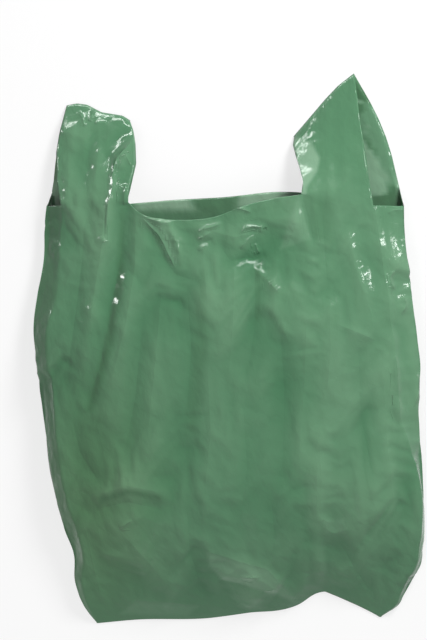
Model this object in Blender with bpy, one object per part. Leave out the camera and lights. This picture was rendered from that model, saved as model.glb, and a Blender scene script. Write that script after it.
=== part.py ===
"""Large vest carrier bag of thin green film, empty, lying on its back panel.

The frame has +X to the right of the front panel, +Y from the bottom seal to the handles and +Z out
of the front panel. The bag is one piece of film: a tube with a gusset in each side, sealed across
the bottom and across the top of each handle, with the mouth and the handle loops cut out of it.
The middle surface of the film is laid out as a front and a back grid that share the crease column
of each gusset. Half a wall is then added on either side of it.
"""

import bpy
import numpy as np

MM = 0.001

# The film and its seals
WALL = 1.0 * MM
SEAL_GAP = 2.4 * MM
SEAL_NOSE = 1.2 * MM

# How far the empty bag stands open above its back panel
BODY_HEIGHT = 82 * MM
MOUTH_HEIGHT = 58 * MM
BOTTOM_RISE = 230 * MM
RISE_POWER = 2.4
FOLD_SHARE = 0.66
CREASE_SHARE = 0.36
CROWN_POWER = 2.6
HANDLE_DROP_POWER = 0.9

# All points below are in millimetres. The corners are (x, y), and every outline runs between the
# corners that it joins. A gusset's cut lip runs from the shoulder, at its crease and in front, up
# to its back lip at the fold into the back panel.
BOTTOM_LEFT = (-193, -401)
BOTTOM_RIGHT = (224, -392)
MOUTH_LEFT = (-145, 211)
MOUTH_RIGHT = (104, 222)
SHOULDER = 207
LEFT_BACK_LIP = 226
RIGHT_BACK_LIP = 236

# The bottom seal, as (x, y)
BOTTOM_SEAL = [
    (-136, -396), (-23, -393), (28, -386), (102, -374), (130, -357), (140, -355), (155, -360), (184, -373),
]

# The long edges of the lying bag, where its gussets crease, as (y, x) up to the shoulder
LEFT_EDGE = [
    (-387, -204), (-343, -223), (-296, -225), (-267, -236), (-236, -246), (-174, -258), (-125, -265),
    (-74, -271), (-24, -278), (31, -283), (76, -278), (131, -268), (184, -265), (SHOULDER, -264),
]
RIGHT_EDGE = [
    (-375, 248), (-361, 255), (-336, 268), (-316, 279), (-285, 282), (-230, 283), (-174, 280),
    (-74, 276), (-22, 278), (4, 275), (62, 268), (118, 262), (173, 256), (SHOULDER, 255),
]

# How far inside those edges the gussets fold into the front and back panels, as (y, inset)
SEAL_INSET = 3
LEFT_FRONT_INSET = [(-330, 12), (-100, 17), (37, 22), (72, 29), (114, 25), (153, 21), (SHOULDER, 22)]
RIGHT_FRONT_INSET = [
    (-330, 8), (-163, 10), (-125, 22), (-105, 30), (-20, 37), (90, 36), (143, 39), (SHOULDER, 46),
]
BACK_INSET = [(-330, 20), (-150, 34), (60, 34), (150, 16), (SHOULDER, 5)]

# The cut edges of the mouth, as (x, y)
FRONT_MOUTH = [(-130, 197), (-90, 186), (-68, 185), (-20, 190), (20, 205), (64, 216)]
BACK_MOUTH = [(-85, 217), (-20, 221), (59, 229), (87, 227)]

# Each handle is a front and a back band with two cut sides each, sealed together between two
# corners at the top, as (x, y) upwards from the shoulder and along the seal from outer to inner
LEFT_HANDLE = {
    "outer_corner": (-237, 354),
    "inner_corner": (-144, 332),
    "seal": [(-222, 357), (-207, 355), (-186, 344), (-155, 339)],
    "front_outer": [(-249, 240), (-251, 285), (-247, 310)],
    "back_outer": [(-256, 244), (-254, 265), (-249, 307)],
    "front_inner": [(-144, 231), (-139, 253), (-135, 270), (-136, 299), (-139, 318)],
    "back_inner": [(-144, 231), (-139, 253), (-135, 270), (-136, 299), (-139, 318)],
}
RIGHT_HANDLE = {
    "outer_corner": (184, 401),
    "inner_corner": (96, 309),
    "seal": [(161, 383), (142, 363), (120, 337)],
    "front_outer": [(204, 242), (199, 278), (195, 308), (191, 335), (188, 367)],
    "back_outer": [(246, 252), (239, 282), (231, 308), (220, 335), (208, 359)],
    "front_inner": [(107, 240), (104, 256), (98, 278), (94, 296)],
    "back_inner": [(112, 232), (128, 256), (132, 276), (120, 300)],
}

# Main folds of the front panel, as a path of (x, y), a half width and a height. A valley's height is
# below nought.
FOLDS = [
    ([(-149, 204), (-155, 140), (-168, 66), (-184, -20), (-204, -86)], 24, -6),
    ([(-179, 200), (-181, 150), (-190, 96), (-198, 40)], 22, 4.5),
    ([(-206, 196), (-212, 120), (-222, 40), (-232, -40)], 20, -3),
    ([(-134, 186), (-134, 120), (-146, 40), (-166, -40)], 20, 3.5),
    ([(-126, 193), (-87, 178), (-69, 124)], 18, 3.5),
    ([(-112, 168), (-92, 128), (-75, 106), (-49, 98)], 18, -4),
    ([(-38, 170), (-36, 120), (-30, 60)], 22, 3),
    ([(-22, 168), (8, 160), (44, 166)], 18, 3),
    ([(-14, 150), (2, 127), (30, 128), (58, 138)], 18, -4),
    ([(36, 118), (54, 102), (76, 86)], 18, 3.5),
    ([(38, 122), (37, 80), (38, 40), (28, -30)], 18, -3),
    ([(8, 120), (6, 40), (0, -40)], 24, 3),
    ([(-60, 90), (-54, 0), (-62, -110)], 24, -4),
    ([(-96, 90), (-104, -10), (-116, -130)], 24, 3.5),
    ([(-124, 30), (-134, -70), (-150, -150)], 22, -3),
    ([(100, 212), (94, 170), (82, 144)], 18, 3.5),
    ([(104, 212), (112, 180), (119, 158)], 16, -3),
    ([(134, 206), (138, 140), (142, 84)], 22, -4),
    ([(172, 160), (185, 107), (208, 41)], 20, 4.5),
    ([(144, 60), (145, 0), (140, -60)], 20, 3.5),
    ([(186, 0), (190, -90), (206, -180)], 22, -4),
    ([(222, -40), (228, -140), (238, -230)], 18, 3),
    ([(72, 40), (80, -60), (76, -180)], 24, -4),
    ([(110, 40), (108, -50), (100, -150)], 22, 3),
    ([(-186, -208), (-143, -195), (-97, -205)], 20, 5),
    ([(-188, -230), (-143, -219), (-98, -230)], 20, -4),
    ([(-226, -100), (-214, -150), (-184, -196)], 22, -4.5),
    ([(-30, -30), (-26, -120), (-34, -200)], 24, 3),
    ([(20, -80), (26, -170), (14, -260)], 24, -3),
    ([(130, -130), (131, -196), (128, -250)], 22, 5),
    ([(132, -252), (150, -266), (172, -258)], 18, 3),
    ([(100, -368), (60, -342), (17, -312), (-18, -336)], 20, 3.5),
    ([(160, -280), (184, -320), (206, -356)], 20, -3),
    ([(-160, -256), (-120, -300), (-90, -340)], 22, 3),
    ([(-60, -230), (-56, -290), (-40, -350)], 24, -3),
    ([(60, -210), (66, -270), (60, -310)], 22, -3),
    ([(-206, -260), (-196, -310), (-186, -360)], 18, 3),
]
FOLD_FADE = 30 * MM
EDGE_FOLD_SHARE = 0.35
CALM_WIDTH = 45 * MM

# How finely the film is laid out
BODY_ROWS = 38
ROW_CROWDING = 0.06
HANDLE_ROWS = 9
GUSSET_COLUMNS = 2
HANDLE_COLUMNS = 9
MOUTH_COLUMNS = 22

FILM_COLOUR = (0.098, 0.242, 0.137, 1.0)
FILM_ROUGHNESS = 0.25


def smooth(points, at):
    """A smooth curve through (where, value) points in millimetres, read at places in metres."""
    where, value = np.array(points, float).T
    slope = np.gradient(value, where)
    at = np.clip(np.asarray(at, float) / MM, where[0], where[-1])
    i = np.clip(np.searchsorted(where, at) - 1, 0, len(where) - 2)
    step = where[i + 1] - where[i]
    t = (at - where[i]) / step
    blend = t * t * (3 - 2 * t)
    bend = step * (t * (1 - t) ** 2 * slope[i] - t * t * (1 - t) * slope[i + 1])
    return (value[i] + blend * (value[i + 1] - value[i]) + bend) * MM


def along(path, share):
    """Points in metres at shares of the length of a path of (x, y) points in millimetres."""
    path = np.array(path, float)
    gone = np.r_[0, np.cumsum(np.linalg.norm(np.diff(path, axis=0), axis=1))]
    return np.stack([np.interp(share * gone[-1], gone, path[:, k]) for k in (0, 1)], axis=-1) * MM


def long_edge(corner, edge, y):
    """The x of a long edge of the bag at each y."""
    return smooth([corner[::-1], *edge], y)


def inset(corner, points, y):
    """How far a fold lies inside a long edge at each y."""
    return smooth([(corner[1], SEAL_INSET), *points], y)


def panel_shares():
    """How far across a panel each of its columns lies, from 0 at its left fold to 1 at its right."""
    shoulder = SHOULDER * MM
    left = long_edge(BOTTOM_LEFT, LEFT_EDGE, shoulder) + inset(BOTTOM_LEFT, LEFT_FRONT_INSET, shoulder)
    right = long_edge(BOTTOM_RIGHT, RIGHT_EDGE, shoulder) - inset(BOTTOM_RIGHT, RIGHT_FRONT_INSET, shoulder)
    mouth_left = (MOUTH_LEFT[0] * MM - left) / (right - left)
    mouth_right = (MOUTH_RIGHT[0] * MM - left) / (right - left)
    return np.r_[
        np.linspace(0, mouth_left, HANDLE_COLUMNS + 1)[:-1],
        np.linspace(mouth_left, mouth_right, MOUTH_COLUMNS + 1),
        np.linspace(mouth_right, 1, HANDLE_COLUMNS + 1)[1:],
    ]


def top_edge(front):
    """The y at which each column leaves the body, at the gussets' lips, the handles and the mouth."""
    left_lip, right_lip = (SHOULDER, SHOULDER) if front else (LEFT_BACK_LIP, RIGHT_BACK_LIP)
    mouth = [MOUTH_LEFT, *(FRONT_MOUTH if front else BACK_MOUTH), MOUTH_RIGHT]
    mouth_x = np.linspace(MOUTH_LEFT[0], MOUTH_RIGHT[0], MOUTH_COLUMNS + 1) * MM
    return np.r_[
        np.linspace(SHOULDER, left_lip, GUSSET_COLUMNS + 1)[:-1] * MM,
        np.linspace(left_lip, MOUTH_LEFT[1], HANDLE_COLUMNS + 1)[:-1] * MM,
        smooth(mouth, mouth_x),
        np.linspace(MOUTH_RIGHT[1], right_lip, HANDLE_COLUMNS + 1)[1:] * MM,
        np.linspace(right_lip, SHOULDER, GUSSET_COLUMNS + 1)[1:] * MM,
    ]


def height_at(y):
    """How high the middle of the front panel lies above the back panel at each y."""
    risen = np.clip((y - BOTTOM_LEFT[1] * MM) / BOTTOM_RISE, 0, 1)
    to_mouth = np.clip(y / (SHOULDER * MM), 0, 1)
    top = BODY_HEIGHT + (MOUTH_HEIGHT - BODY_HEIGHT) * to_mouth**2 * (3 - 2 * to_mouth)
    return SEAL_GAP + (top - SEAL_GAP) * (1 - (1 - risen) ** RISE_POWER)


def fold_relief(x, y):
    """The main folds: tents that rise or fall to their paths and fade past both ends."""
    places = np.stack([x, y], axis=-1)
    relief = np.zeros_like(x)
    for path, half_width, height in FOLDS:
        path = np.array(path) * MM
        away = np.full_like(x, np.inf)
        for start, end in zip(path[:-1], path[1:]):
            way = end - start
            share = np.clip((places - start) @ way / (way @ way), 0, 1)
            away = np.minimum(away, np.linalg.norm(places - start - share[..., None] * way, axis=-1))
        relief += height * MM * np.clip(1 - away / (half_width * MM), 0, 1)
    return relief


def body_grid(front):
    """The points of the front or back half of the body, in rows from the bottom seal upwards and
    columns from the left crease to the right one."""
    share = panel_shares()
    outwards = 1 - np.arange(GUSSET_COLUMNS) / GUSSET_COLUMNS
    left_out = np.r_[outwards, np.zeros(len(share) + GUSSET_COLUMNS)]
    right_out = left_out[::-1]
    across = np.r_[np.zeros(GUSSET_COLUMNS), share, np.ones(GUSSET_COLUMNS)]

    low_x = (BOTTOM_LEFT[0] + across * (BOTTOM_RIGHT[0] - BOTTOM_LEFT[0])) * MM
    low_y = smooth([BOTTOM_LEFT, *BOTTOM_SEAL, BOTTOM_RIGHT], low_x)
    step = np.linspace(0, 1, BODY_ROWS + 1)[:, None]
    step = step - ROW_CROWDING * np.sin(2 * np.pi * step)
    y = low_y + step * (top_edge(front) - low_y)

    left, right = long_edge(BOTTOM_LEFT, LEFT_EDGE, y), long_edge(BOTTOM_RIGHT, RIGHT_EDGE, y)
    fold_left = left + inset(BOTTOM_LEFT, LEFT_FRONT_INSET if front else BACK_INSET, y)
    fold_right = right - inset(BOTTOM_RIGHT, RIGHT_FRONT_INSET if front else BACK_INSET, y)
    x = fold_left + across * (fold_right - fold_left)
    x += left_out * (left - fold_left) + right_out * (right - fold_right)

    height = height_at(y)
    fold_z = FOLD_SHARE * height if front else np.zeros_like(height)
    z = WALL / 2 + fold_z + (left_out + right_out) * (CREASE_SHARE * height - fold_z)
    if front:
        crown = 1 - np.abs(2 * across - 1) ** CROWN_POWER
        calm = np.clip(np.minimum(across, 1 - across) * (fold_right - fold_left) / CALM_WIDTH, 0, 1)
        calm = EDGE_FOLD_SHARE + (1 - EDGE_FOLD_SHARE) * calm
        fade = np.clip((height - SEAL_GAP) / FOLD_FADE, 0, 1) * (1 - left_out - right_out)
        z += (1 - FOLD_SHARE) * height * crown + calm * fade * fold_relief(x, y)
    return np.stack([x, y, z], axis=-1)


def handle_band(foot, handle, side):
    """The points of a handle's front or back band, in rows up from its foot on the body to the seal
    and columns from its outer side to its inner one."""
    rows = np.linspace(0, 1, HANDLE_ROWS + 1)
    columns = np.linspace(0, 1, HANDLE_COLUMNS + 1)[:, None]
    foot_xy = foot[:, :2]
    outer = along([foot_xy[0] / MM, *handle[side + "_outer"], handle["outer_corner"]], rows)
    inner = along([foot_xy[-1] / MM, *handle[side + "_inner"], handle["inner_corner"]], rows)
    seal = along([handle["outer_corner"], *handle["seal"], handle["inner_corner"]], columns[:, 0])
    flat = outer[:, None] + columns * (inner - outer)[:, None]
    up = rows[:, None, None]
    flat += up * (seal - (seal[0] + columns * (seal[-1] - seal[0])))
    flat += (1 - up) * (foot_xy - (foot_xy[0] + columns * (foot_xy[-1] - foot_xy[0])))
    seal_z = WALL / 2 + (SEAL_GAP if side == "front" else 0)
    z = seal_z + (foot[:, 2] - seal_z) * (1 - rows[:, None]) ** HANDLE_DROP_POWER
    return np.concatenate([flat, z[..., None]], axis=-1)


class Surface:
    """Points and faces gathered grid by grid."""

    def __init__(self):
        self.points = np.empty((0, 3))
        self.faces = np.empty((0, 4), int)

    def add(self, grid):
        """Adds a grid of points and returns their numbers."""
        numbers = len(self.points) + np.arange(grid[..., 0].size).reshape(grid.shape[:-1])
        self.points = np.concatenate([self.points, grid.reshape(-1, 3)])
        return numbers

    def skin(self, numbers, turned):
        """Adds the faces of a grid of point numbers, turned over where it faces down."""
        corners = [numbers[:-1, :-1], numbers[:-1, 1:], numbers[1:, 1:], numbers[1:, :-1]]
        found = np.stack(corners, axis=-1).reshape(-1, 4)
        self.faces = np.concatenate([self.faces, found[:, ::-1] if turned else found])


def add_handle(surface, handle, feet, columns, mirrored):
    """Joins a handle's two bands to their feet on the body and to each other along the seal."""
    tops = []
    for side, (body, numbers) in feet.items():
        band = handle_band(body[-1, columns], handle, side)
        on_band = np.concatenate([numbers[-1:, columns], surface.add(band[1:])])
        surface.skin(on_band, mirrored != (side == "back"))
        tops.append((band[-1], on_band[-1]))
    (front, on_front), (back, on_back) = tops
    way = (front[-1] - front[0]) * (-1 if mirrored else 1)
    beyond = SEAL_NOSE * np.array([-way[1], way[0], 0]) / np.hypot(way[0], way[1])
    on_nose = surface.add((front + back) / 2 + beyond)
    surface.skin(np.stack([on_front, on_nose]), mirrored)
    surface.skin(np.stack([on_back, on_nose]), not mirrored)


def film_surface():
    """The middle surface of the film, with every face pointing out of the bag."""
    surface = Surface()
    front, back = body_grid(front=True), body_grid(front=False)
    on_front = surface.add(front)
    on_back = np.concatenate([on_front[:, :1], surface.add(back[:, 1:-1]), on_front[:, -1:]], axis=1)
    surface.skin(on_front, turned=False)
    surface.skin(on_back, turned=True)

    nose = surface.add(((front + back)[0] / 2 - [0, SEAL_NOSE, 0])[1:-1])
    on_nose = np.r_[on_front[0, 0], nose, on_front[0, -1]]
    surface.skin(np.stack([on_nose, on_front[0]]), turned=False)
    surface.skin(np.stack([on_nose, on_back[0]]), turned=True)

    feet = {"front": (front, on_front), "back": (back, on_back)}
    left = np.arange(GUSSET_COLUMNS, GUSSET_COLUMNS + HANDLE_COLUMNS + 1)
    right = front.shape[1] - 1 - left
    add_handle(surface, LEFT_HANDLE, feet, left, mirrored=False)
    add_handle(surface, RIGHT_HANDLE, feet, right, mirrored=True)
    return surface


def thicken(surface):
    """The film's triangles with half a wall on either side, and a rim along every cut edge."""
    triangles = surface.faces[:, [0, 1, 2, 0, 2, 3]].reshape(-1, 3)
    triangles = triangles[(triangles != np.roll(triangles, 1, axis=1)).all(axis=1)]
    a, b, c = (surface.points[triangles[:, k]] for k in range(3))
    normals = np.zeros_like(surface.points)
    np.add.at(normals, triangles.T, np.cross(b - a, c - a))
    normals *= WALL / 2 / np.linalg.norm(normals, axis=1, keepdims=True)

    edges = triangles[:, [0, 1, 1, 2, 2, 0]].reshape(-1, 2)
    _, index, uses = np.unique(np.sort(edges, axis=1), axis=0, return_inverse=True, return_counts=True)
    cut = edges[uses[index.reshape(-1)] == 1]
    inside = len(surface.points)
    rim = np.c_[cut[:, 1], cut[:, 0], cut[:, 0] + inside, cut[:, 1], cut[:, 0] + inside, cut[:, 1] + inside]
    points = np.concatenate([surface.points + normals, surface.points - normals])
    return points, np.concatenate([triangles, triangles[:, ::-1] + inside, rim.reshape(-1, 3)])


def centred(points):
    """The points moved so that the bag lies on z = 0 with its box centred over the origin."""
    low, high = points.min(axis=0), points.max(axis=0)
    return points - [(low[0] + high[0]) / 2, (low[1] + high[1]) / 2, low[2]]


def film_material():
    """Glossy mid-green film."""
    material = bpy.data.materials.new("green_film")
    material.use_nodes = True
    shader = material.node_tree.nodes["Principled BSDF"]
    shader.inputs["Base Color"].default_value = FILM_COLOUR
    shader.inputs["Roughness"].default_value = FILM_ROUGHNESS
    shader.inputs["Metallic"].default_value = 0.0
    return material


def build_bag():
    """The whole bag as one object."""
    points, faces = thicken(film_surface())
    mesh = bpy.data.meshes.new("bag")
    mesh.from_pydata(centred(points).tolist(), [], faces.tolist())
    mesh.shade_smooth()
    mesh.materials.append(film_material())
    bpy.context.scene.collection.objects.link(bpy.data.objects.new("bag", mesh))


def main():
    for old in list(bpy.data.objects):
        bpy.data.objects.remove(old)
    build_bag()


main()
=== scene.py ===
"""Dresses a large vest carrier bag of thin green film, empty, lying on its back panel.

The film is one surface. Its front and back halves are grids over two parameters, how far up the bag
and how far round it a point lies, and they share the crease column of each gusset. Folds, facets
and crinkles are added along the surface's own normals, and the film then gets its wall.
"""

from __future__ import annotations

import logging
from dataclasses import dataclass, field, replace
from enum import Enum

import bpy
import numpy as np
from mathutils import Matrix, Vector

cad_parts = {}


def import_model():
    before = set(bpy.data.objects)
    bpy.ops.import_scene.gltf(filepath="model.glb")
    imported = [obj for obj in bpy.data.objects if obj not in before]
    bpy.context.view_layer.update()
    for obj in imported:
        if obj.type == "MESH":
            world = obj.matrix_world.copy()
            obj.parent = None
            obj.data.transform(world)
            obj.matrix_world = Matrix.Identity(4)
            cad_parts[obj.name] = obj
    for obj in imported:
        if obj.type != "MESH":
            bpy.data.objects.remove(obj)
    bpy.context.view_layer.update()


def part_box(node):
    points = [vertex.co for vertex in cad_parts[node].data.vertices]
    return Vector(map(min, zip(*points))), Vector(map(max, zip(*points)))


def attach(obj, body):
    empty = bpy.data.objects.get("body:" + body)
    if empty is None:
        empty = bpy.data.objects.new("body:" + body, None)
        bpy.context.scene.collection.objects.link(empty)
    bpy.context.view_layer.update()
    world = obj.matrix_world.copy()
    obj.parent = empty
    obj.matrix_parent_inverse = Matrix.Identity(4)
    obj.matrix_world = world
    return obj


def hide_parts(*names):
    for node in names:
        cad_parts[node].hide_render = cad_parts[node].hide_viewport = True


MM = 0.001
# how far from a crest, in millimetres, the finish still draws it
LINE_REACH = 12
# the share of a crest's length over which it fades out at each end
LINE_END_FADE = 0.12
# two crests whose distances differ by less than this, in millimetres, weaken each other
LINE_GAP = 3
Array = np.ndarray
Path = tuple[tuple[float, float], ...]
log = logging.getLogger("carrier_bag")


class Side(Enum):
    """The two halves of the film."""

    FRONT = "front"
    BACK = "back"


def smooth(points: Path, at: Array) -> Array:
    """A smooth curve through points, by cubic pieces whose slopes are the mean of their neighbours'.

    Args:
        points: (where, value) pairs in millimetres, with rising where.
        at: The places to read, in metres.

    Returns:
        The curve's values in metres.
    """
    where, value = np.array(points, float).T
    slope = np.gradient(value, where)
    at = np.clip(np.asarray(at, float) / MM, where[0], where[-1])
    i = np.clip(np.searchsorted(where, at) - 1, 0, len(where) - 2)
    step = where[i + 1] - where[i]
    t = (at - where[i]) / step
    blend = t * t * (3 - 2 * t)
    bend = step * (t * (1 - t) ** 2 * slope[i] - t * t * (1 - t) * slope[i + 1])
    return (value[i] + blend * (value[i + 1] - value[i]) + bend) * MM


def along(path: Path, share: Array) -> Array:
    """Points at shares of a path's length.

    Args:
        path: (x, y) points in millimetres.
        share: Where to read the path, from 0 to 1.

    Returns:
        The points in metres, one row for each share.
    """
    line = np.array(path, float)
    gone = np.r_[0, np.cumsum(np.linalg.norm(np.diff(line, axis=0), axis=1))]
    return np.stack([np.interp(share * gone[-1], gone, line[:, k]) for k in (0, 1)], axis=-1) * MM


def away_from_ends(run: Array, share: float) -> Array:
    """1 along a path, falling to 0 over a share of its length at each end."""
    return np.clip(np.minimum(run, 1 - run) / share, 0, 1)


def new_object(name: str, data: bpy.types.ID) -> bpy.types.Object:
    """Makes an object at the origin and puts it into the scene."""
    made = bpy.data.objects.new(name, data)
    bpy.context.scene.collection.objects.link(made)
    return made


class Grain:
    """Gradient noise in space: at each corner of a cubic lattice a fixed slope, blended between."""

    # brings the sum to about -1 to 1
    spread = 1.6

    def __init__(self, seed: int) -> None:
        """Draws the lattice's slopes from a seed."""
        rng = np.random.default_rng(seed)
        ways = rng.normal(size=(256, 3))
        self.order = rng.permutation(256)
        self.ways = ways / np.linalg.norm(ways, axis=1, keepdims=True)

    def at(self, points: Array, size: float) -> Array:
        """Reads the noise.

        Args:
            points: Places in metres, with x, y and z last.
            size: The lattice's spacing in metres.

        Returns:
            Values of about -1 to 1, one for each place.
        """
        place = points / size
        cell = np.floor(place).astype(int)
        part = place - cell
        ease = part**3 * (part * (6 * part - 15) + 10)
        total = np.zeros(points.shape[:-1])
        for corner in np.array(list(np.ndindex(2, 2, 2))):
            x, y, z = np.moveaxis(cell + corner, -1, 0)
            pick = self.order[(self.order[(self.order[x & 255] + y) & 255] + z) & 255]
            share = np.prod(np.where(corner == 1, ease, 1 - ease), axis=-1)
            total += share * np.sum(self.ways[pick] * (part - corner), axis=-1)
        return self.spread * total


@dataclass(frozen=True)
class Patch:
    """A soft oval of a panel, in millimetres."""

    centre: tuple[float, float]
    reach: tuple[float, float]

    def weight(self, flat: Array) -> Array:
        """How much a point belongs to the patch: exp(-(dx / rx)^2 - (dy / ry)^2)."""
        off = (flat / MM - self.centre) / self.reach
        return np.exp(-np.sum(off**2, axis=-1))


@dataclass(frozen=True)
class Zone:
    """A straight-sided part of one half, in millimetres, where the film looks lighter or darker."""

    side: Side
    corners: Path
    amount: float = 1.0
    edge: float = 5.0

    def weight(self, flat: Array) -> Array:
        """How much a point belongs to the zone: the signed distance to its sides over the edge's width,
        plus a half, kept between 0 and 1. A point is inside where a line to its left crosses an odd
        number of sides.

        Args:
            flat: Places as (x, y) in metres.

        Returns:
            The zone's amount there.
        """
        points = flat / MM
        line = np.array(self.corners, float)
        nearest = np.full(points.shape[:-1], np.inf)
        inside = np.zeros(points.shape[:-1], bool)
        for start, end in zip(line, np.roll(line, -1, axis=0)):
            side = end - start
            share = np.clip((points - start) @ side / (side @ side), 0, 1)
            nearest = np.minimum(nearest, np.linalg.norm(points - start - share[..., None] * side, axis=-1))
            spans = (start[1] > points[..., 1]) != (end[1] > points[..., 1])
            rise = side[1] if side[1] else 1.0
            inside ^= spans & (points[..., 0] > start[0] + (points[..., 1] - start[1]) * side[0] / rise)
        return self.amount * np.clip(np.where(inside, nearest, -nearest) / self.edge + 0.5, 0, 1)


def near(path: Path, flat: Array) -> tuple[Array, Array, Array]:
    """How far points lie from a path, how far along it the nearest place is, and on which side.

    Args:
        path: (x, y) points in millimetres.
        flat: Places as (x, y) in metres.

    Returns:
        The distances in metres, the shares of the path's length, and 1 on its left or -1 on its right.
    """
    line = np.array(path, float) * MM
    steps = np.linalg.norm(np.diff(line, axis=0), axis=1)
    away = np.full(flat.shape[:-1], np.inf)
    run, side = np.zeros(flat.shape[:-1]), np.ones(flat.shape[:-1])
    for start, end, gone, step in zip(line[:-1], line[1:], np.r_[0, np.cumsum(steps)], steps):
        way, off = (end - start) / step, flat - start
        share = np.clip(off @ way / step, 0, 1)
        distance = np.linalg.norm(off - share[..., None] * step * way, axis=-1)
        closer = distance < away
        run = np.where(closer, gone + share * step, run)
        side = np.where(closer, np.where(way[0] * off[..., 1] < way[1] * off[..., 0], -1, 1), side)
        away = np.minimum(away, distance)
    return away, run / steps.sum(), side


@dataclass(frozen=True)
class Fold:
    """A main fold of the front panel, in millimetres. A valley's height is below nought."""

    path: Path
    half_width: float
    height: float
    crest: float = 0.6
    crest_reach: float = 4.0
    sharp: float = 0.3
    end_fade: float = 0.25

    def relief(self, flat: Array) -> Array:
        """A tent, height * (1 - distance / half width), and along its crest a finer one that falls off
        by exp(-distance / reach)."""
        away, run, _ = near(self.path, flat)
        tent = self.height * np.clip(1 - away / (self.half_width * MM), 0, 1)
        ends = away_from_ends(run, self.end_fade)
        crest = np.sign(self.height) * self.crest * ends * np.exp(-away / (self.crest_reach * MM))
        return MM * (tent + crest)


@dataclass(frozen=True)
class Crease:
    """One small fold of the film, a sharp ridge or, with a height below nought, a valley, in
    millimetres."""

    path: Path
    reach: float
    height: float
    sharp: float = 0.0
    end_fade: float = 0.2

    def relief(self, flat: Array) -> Array:
        """The crease's relief: height * exp(-distance / reach), fading to nought towards both ends."""
        away, run, _ = near(self.path, flat)
        ends = away_from_ends(run, self.end_fade)
        return self.height * MM * ends * np.exp(-away / (self.reach * MM))


def crest_lines(lines: tuple[Fold | Crease, ...], flat: Array) -> tuple[Array, Array]:
    """Finds each point's nearest sharp crest, so that the finish can draw it finer than the mesh is.

    Args:
        lines: The folds and creases.
        flat: Places as (x, y) in metres.

    Returns:
        The distance to that crest in millimetres, below nought on its right and at most LINE_REACH,
        and the crest's sharpness there, which fades with the distance, at the crest's ends and where
        two crests are about as near.
    """
    first, second = (np.full(flat.shape[:-1], np.inf) for _ in range(2))
    across, sharp = (np.zeros(flat.shape[:-1]) for _ in range(2))
    for line in lines:
        if not line.sharp:
            continue
        away, run, side = near(line.path, flat)
        away = away / MM
        ends = away_from_ends(run, LINE_END_FADE)
        closer = away < first
        second = np.where(closer, first, np.minimum(second, away))
        across = np.where(closer, side * away, across)
        sharp = np.where(closer, np.sign(line.height) * line.sharp * ends, sharp)
        first = np.minimum(first, away)
    apart = np.clip((second - first) / LINE_GAP, 0, 1) * np.clip(2 - 2 * first / LINE_REACH, 0, 1)
    return np.clip(across, -LINE_REACH, LINE_REACH), sharp * apart


@dataclass(frozen=True)
class Scatter:
    """Many small creases, spread over a rectangle, in millimetres and degrees from straight up."""

    count: int
    low: tuple[float, float]
    high: tuple[float, float]
    heading: float
    spread: float
    length: tuple[float, float]
    reach: tuple[float, float]
    height: tuple[float, float]
    seed: int

    def creases(self) -> tuple[Crease, ...]:
        """Draws the creases, each with one bend, as many ridges as valleys."""
        rng = np.random.default_rng(self.seed)
        found = []
        for k in range(self.count):
            start = rng.uniform(self.low, self.high)
            turn = np.radians(self.heading + self.spread * rng.normal())
            length = rng.uniform(*self.length)
            bend = turn + rng.uniform(-0.35, 0.35)
            middle = start + 0.5 * length * np.array([np.sin(turn), -np.cos(turn)])
            end = middle + 0.5 * length * np.array([np.sin(bend), -np.cos(bend)])
            height = rng.uniform(*self.height) * (-1) ** k
            found.append(Crease((tuple(start), tuple(middle), tuple(end)), rng.uniform(*self.reach), height))
        return tuple(found)


@dataclass(frozen=True)
class Zigzag:
    """A set of straight creases, ridge and valley in turn: its heading across them in degrees, from one
    ridge to the next and how high it is in millimetres, how far it pushes the next set aside and where
    it starts."""

    heading: float
    length: float
    height: float
    push: float
    start: float


@dataclass(frozen=True)
class Facets:
    """Flat facets with straight edges, as on film that was folded again and again."""

    zigzags: tuple[Zigzag, ...]
    seed: int = 3
    seed_step: float = 0.037
    noise_length: float = 130
    mean_strength: float = 0.9
    noise_strength: float = 0.9
    strengths: tuple[float, float] = (0.3, 1.5)

    def relief(self, flat: Array) -> Array:
        """The sum of the zigzags 1 - 4 |p - round(p)|, where p is the distance across a set over its
        length. Each set shifts the points along its own creases by its own zigzag before the next one
        is laid on, which bends the later creases at the earlier ones and keeps every facet flat. Noise
        makes the whole stronger in some places than in others.

        Args:
            flat: Places on the panel as (x, y) in metres.

        Returns:
            How far the film rises there, in metres.
        """
        place = flat / MM
        total = np.zeros(flat.shape[:-1])
        for zigzag in self.zigzags:
            turn = np.radians(zigzag.heading)
            way = np.array([np.cos(turn), np.sin(turn)])
            phase = place @ way / zigzag.length + zigzag.start
            rise = 1 - 4 * np.abs(phase - np.round(phase))
            total += zigzag.height * rise
            place = place + zigzag.push * rise[..., None] * np.array([-way[1], way[0]])
        space = np.concatenate([flat, np.full((*flat.shape[:-1], 1), self.seed_step * self.seed)], axis=-1)
        noise = Grain(self.seed).at(space, self.noise_length * MM)
        return MM * total * np.clip(self.mean_strength + self.noise_strength * noise, *self.strengths)


@dataclass(frozen=True)
class Handle:
    """One handle: a front and a back band, each between two cut edges, sealed together at the top.

    All paths are (x, y) in millimetres, upwards from the shoulder, and the seal runs outer to inner.
    """

    outer_corner: tuple[float, float]
    inner_corner: tuple[float, float]
    seal: Path
    outer: dict[Side, Path]
    inner: dict[Side, Path]


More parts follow.
